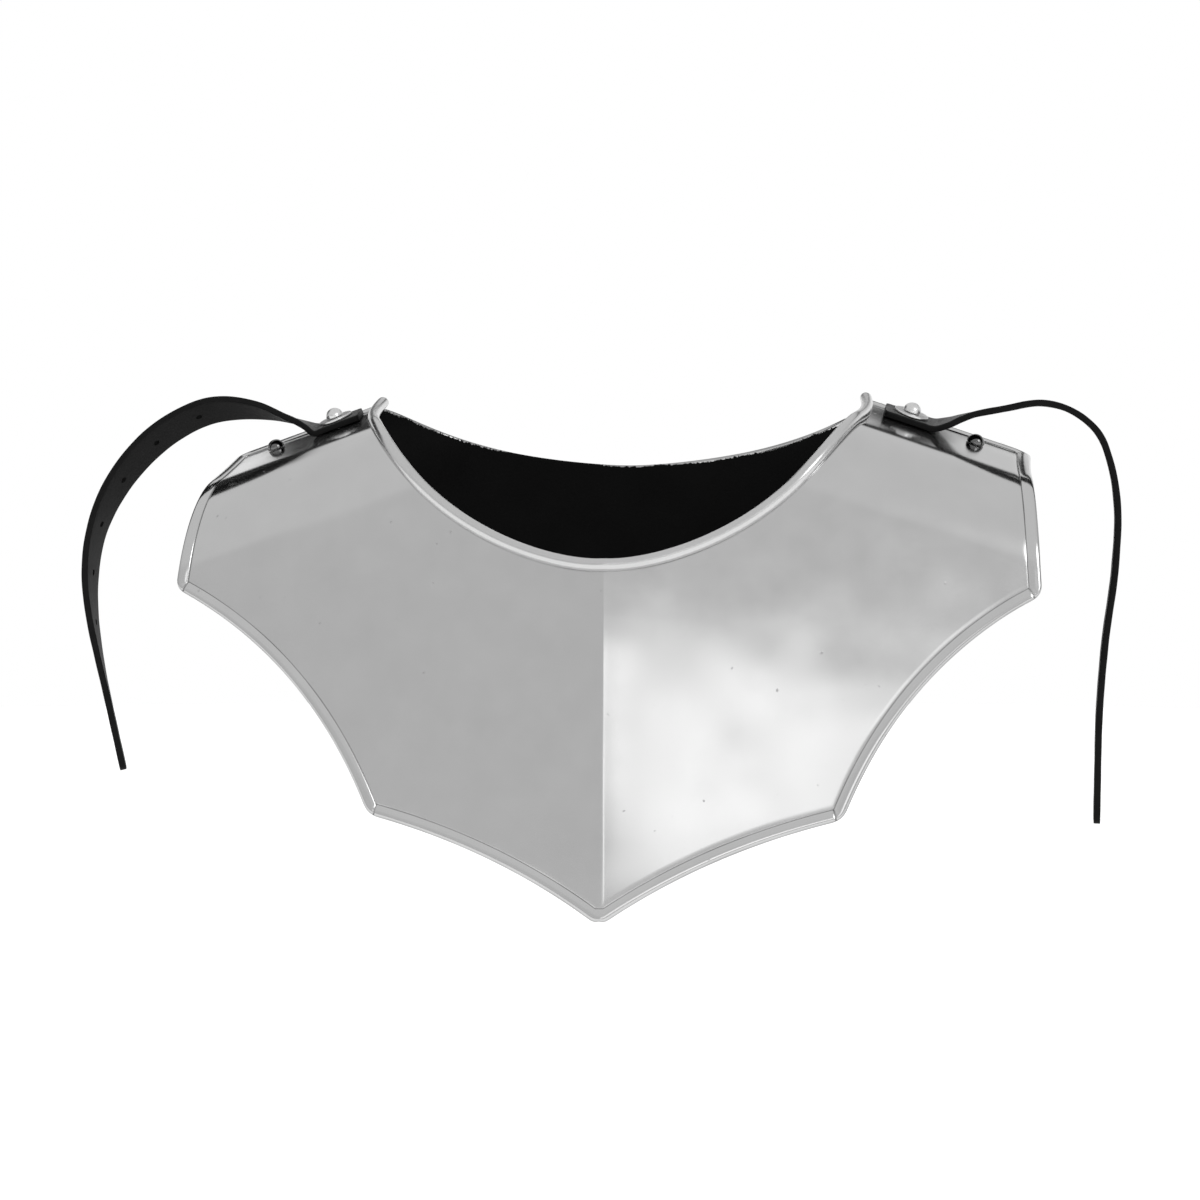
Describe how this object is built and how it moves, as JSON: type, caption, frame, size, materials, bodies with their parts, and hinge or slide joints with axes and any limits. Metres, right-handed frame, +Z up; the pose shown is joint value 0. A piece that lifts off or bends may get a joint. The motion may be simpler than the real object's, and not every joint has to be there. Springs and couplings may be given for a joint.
{
  "type": "steel gorget",
  "caption": "Keeled steel breast collar with a scalloped pointed outline, a nape plate riveted over the shoulders and punched leather straps.",
  "frame": {"origin": "middle of the neck opening, between the shoulders, level with the plates' undersides at the seam by the neck", "axes": "+Z up, -Y the way the wearer faces, +X the wearer's left"},
  "size_m": [0.4899, 0.2087, 0.2372],
  "materials": {
    "polished_steel": "soft mirror polish",
    "rivet_steel": "polished heads",
    "black_leather": "semi-matt, fine grain"
  },
  "bodies": {
    "root": {"front_plate": "polished_steel", "back_plate": "polished_steel", "strap_left": "black_leather", "strap_right": "black_leather", "strap_washer_left": "rivet_steel", "strap_washer_right": "rivet_steel", "strap_rivet_left": "rivet_steel", "strap_rivet_right": "rivet_steel", "shoulder_rivet_left": "rivet_steel", "shoulder_rivet_right": "rivet_steel"}
  },
  "joints": []
}
